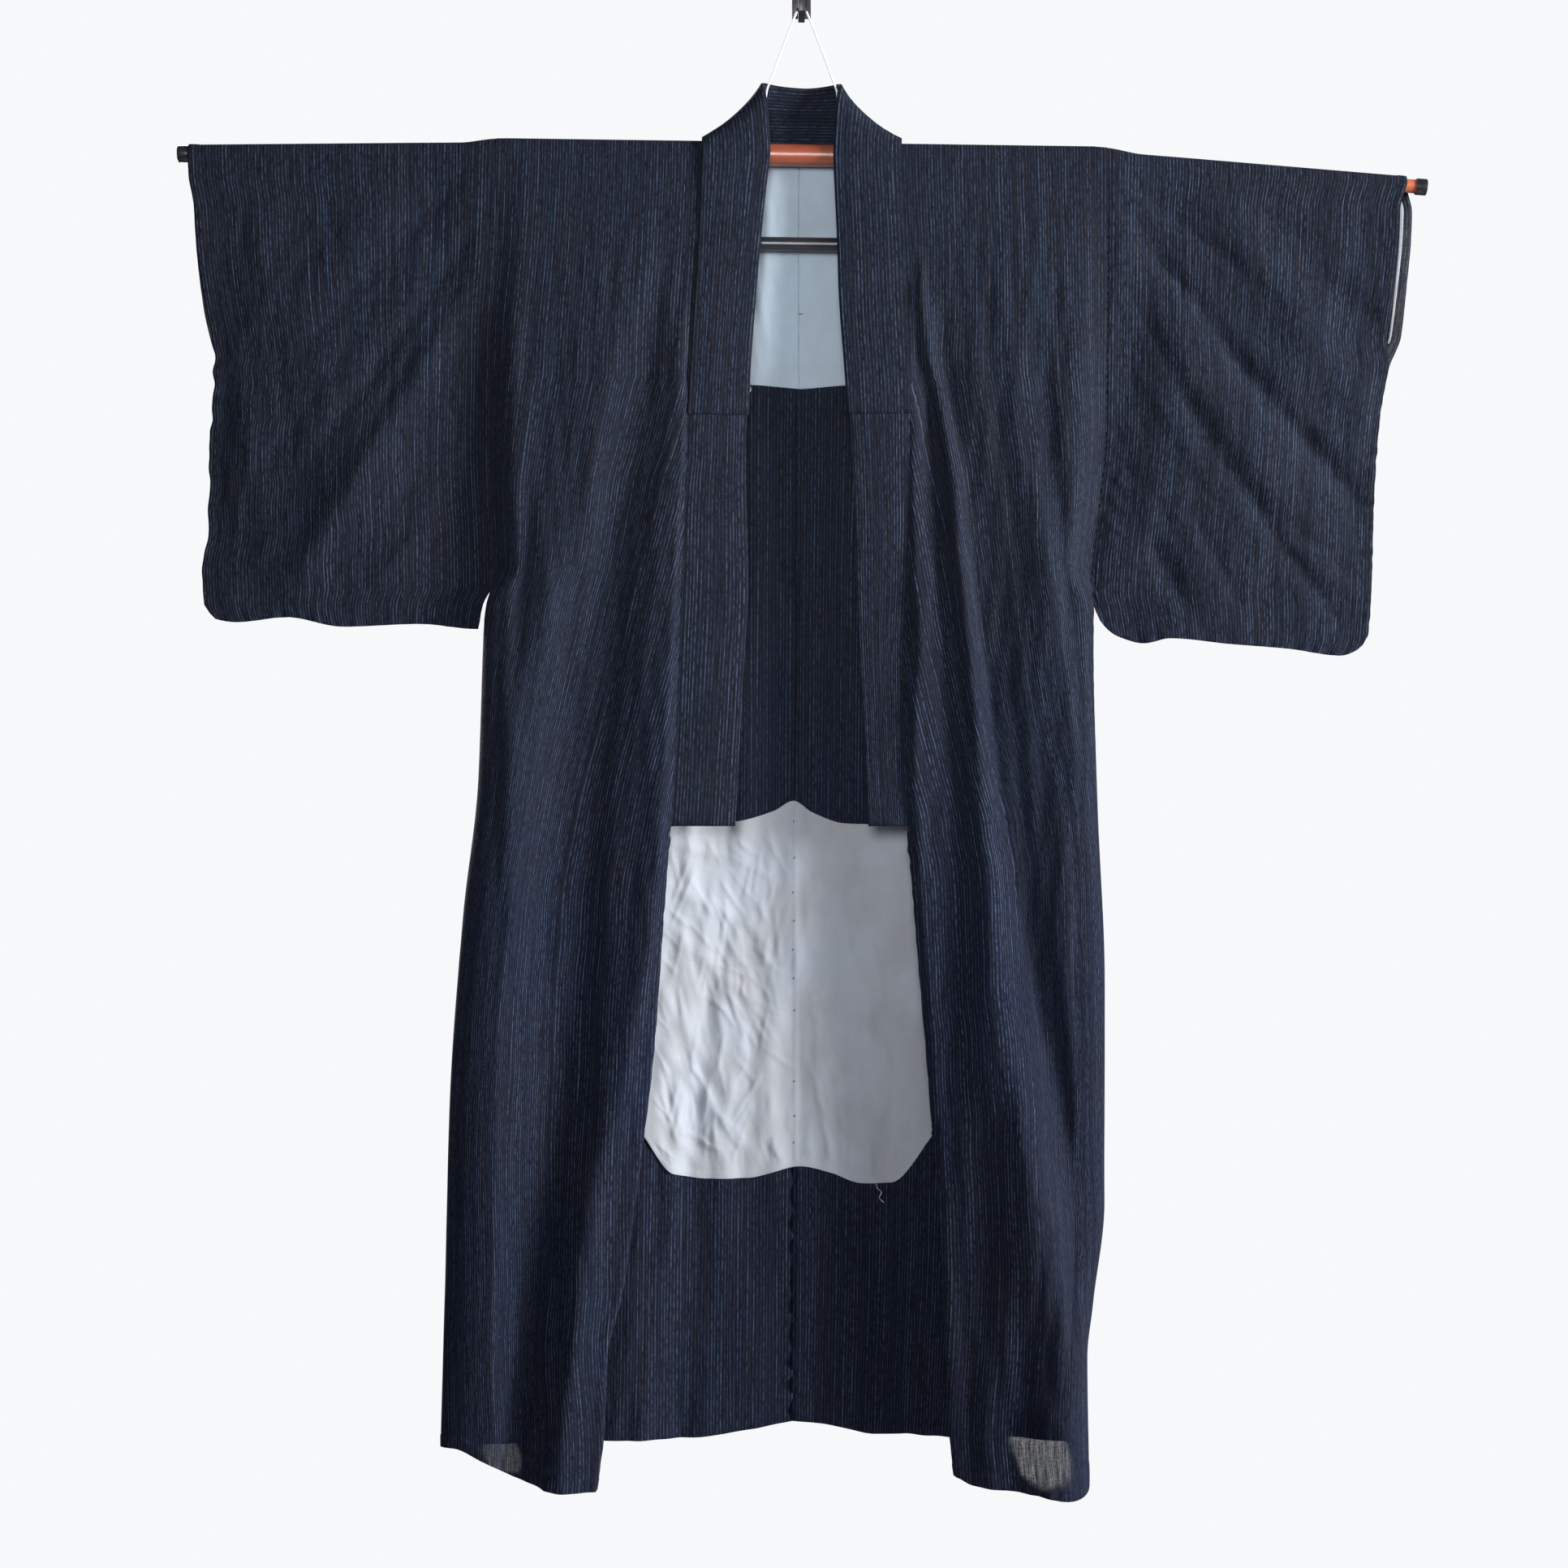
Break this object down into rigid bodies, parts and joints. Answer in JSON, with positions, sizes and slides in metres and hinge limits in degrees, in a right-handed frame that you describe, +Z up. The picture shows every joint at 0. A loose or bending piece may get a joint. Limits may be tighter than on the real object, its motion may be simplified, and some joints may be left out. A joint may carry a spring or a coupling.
{
  "type": "men's unlined kimono hung on a telescoping kimono hanger and a wall hook",
  "caption": "Unlined striped kimono hung open and flat on a kimono hanger, with its cord and wall hook.",
  "frame": {"origin": "the middle of the wall hook's back face, on the wall", "axes": "+Z up; +Y into the wall, so that the garment hangs at negative Y; +X to the right of somebody who faces the wall"},
  "size_m": [1.3071, 0.1065, 1.586],
  "materials": {
    "striped_cloth": "matt slubby cotton or hemp, dark indigo with fine light warp stripes",
    "collar_cloth": "the same striped cloth, its stripes along the band",
    "yoke_lining": "plain pale blue cotton",
    "seat_lining": "plain pale grey-blue cotton, soft creases",
    "red_brown_tube": "glossy",
    "brown_arm": "satin",
    "black_plastic": "satin black",
    "white_cord": "twisted white cord",
    "black_hook": "black enamel"
  },
  "bodies": {
    "root": {"body_left": "striped_cloth", "body_right": "striped_cloth", "okumi_left": "striped_cloth", "okumi_right": "striped_cloth", "sleeve_left": "striped_cloth", "sleeve_right": "striped_cloth", "collar": "collar_cloth", "over_collar": "collar_cloth", "yoke_lining_left": "yoke_lining", "yoke_lining_right": "yoke_lining", "seat_lining": "seat_lining", "centre_tube": "red_brown_tube", "arm_left": "brown_arm", "arm_right": "brown_arm", "cap_left": "black_plastic", "cap_right": "black_plastic", "lower_bar": "black_plastic", "bar_link_left": "black_plastic", "bar_link_right": "black_plastic", "cord_eye_left": "black_plastic", "cord_eye_right": "black_plastic", "hanger_cord": "white_cord", "wall_hook": "black_hook"}
  },
  "joints": []
}
